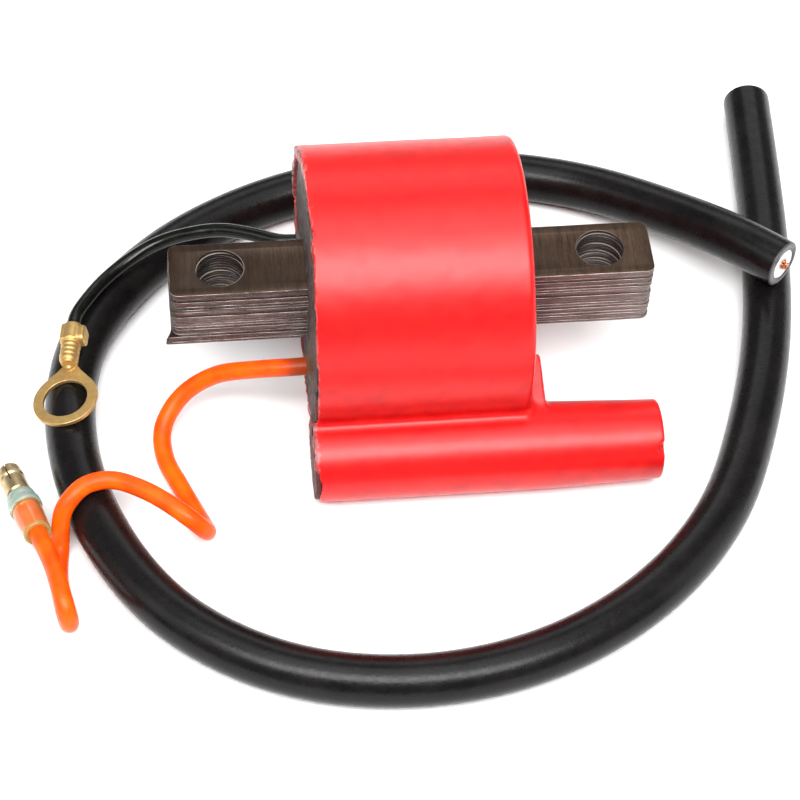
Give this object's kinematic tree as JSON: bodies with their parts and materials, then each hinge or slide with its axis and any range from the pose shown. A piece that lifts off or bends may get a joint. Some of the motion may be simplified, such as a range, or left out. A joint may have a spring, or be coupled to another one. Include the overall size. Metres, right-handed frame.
{
  "type": "ignition coil",
  "caption": "Potted ignition coil: a round case with a side HT tower on a laminated core bar with mounting holes, flying leads with ring and bullet terminals, and a loose HT cable.",
  "frame": {"origin": "centre of the mounting-hole pattern, at mid height of the core stack, on the drum's axis", "axes": "+X along the core towards the HT tower's mouth, +Z along the mounting holes away from the surface the case lies on, +Y away from the tower"},
  "size_m": [0.1193, 0.107, 0.039],
  "materials": {
    "case_red": "semi-gloss moulded plastic with fine mould streaks",
    "potting": "cured epoxy, rough at the rim",
    "core_steel": "oil-browned electrical steel with sheared edges",
    "paper": "fish paper",
    "bobbin_dark": "moulded nylon",
    "bobbin_light": "moulded nylon",
    "copper_wire": "bare and enamelled copper",
    "film": "polyester film",
    "brass": "rolled brass",
    "solder": "dull solder",
    "lead_black": "soft PVC",
    "lead_orange": "soft PVC",
    "clear_pvc": "clear soft PVC",
    "cable_black": "satin black rubber",
    "cable_white": "white polyethylene"
  },
  "bodies": {
    "coil": {"case_shell": "case_red", "potting_resin": "potting", "core_insulation": "paper", "primary_bobbin": "bobbin_dark", "primary_winding": "copper_wire", "interlayer_wrap": "film", "secondary_bobbin": "bobbin_light", "secondary_winding": "copper_wire", "ht_jumper": "copper_wire", "ht_terminal": "brass", "solder_joints": "solder", "core_lamination_01": "core_steel", "core_lamination_02": "core_steel", "core_lamination_03": "core_steel", "core_lamination_04": "core_steel", "core_lamination_05": "core_steel", "core_lamination_06": "core_steel", "core_lamination_07": "core_steel", "core_lamination_08": "core_steel", "core_lamination_09": "core_steel", "core_lamination_10": "core_steel", "core_lamination_11": "core_steel", "core_lamination_12": "core_steel", "core_lamination_13": "core_steel", "core_lamination_14": "core_steel", "core_lamination_15": "core_steel", "core_lamination_16": "core_steel", "core_lamination_17": "core_steel", "core_lamination_18": "core_steel", "core_lamination_19": "core_steel", "core_lamination_20": "core_steel", "ground_lead": "lead_black", "ground_lead_strands": "copper_wire", "ring_terminal": "brass", "primary_lead": "lead_orange", "primary_lead_strands": "copper_wire", "bullet_terminal": "brass", "ht_cable_jacket": "cable_black", "ht_cable_insulation": "cable_white", "ht_cable_strands": "copper_wire"},
    "sleeve": {"terminal_sleeve": "clear_pvc"}
  },
  "joints": [
    {"name": "sleeve_slide", "type": "slide", "parent": "coil", "child": "sleeve", "axis": [0.293, -0.9293, 0.225], "range_m": [0, 0.005]}
  ]
}
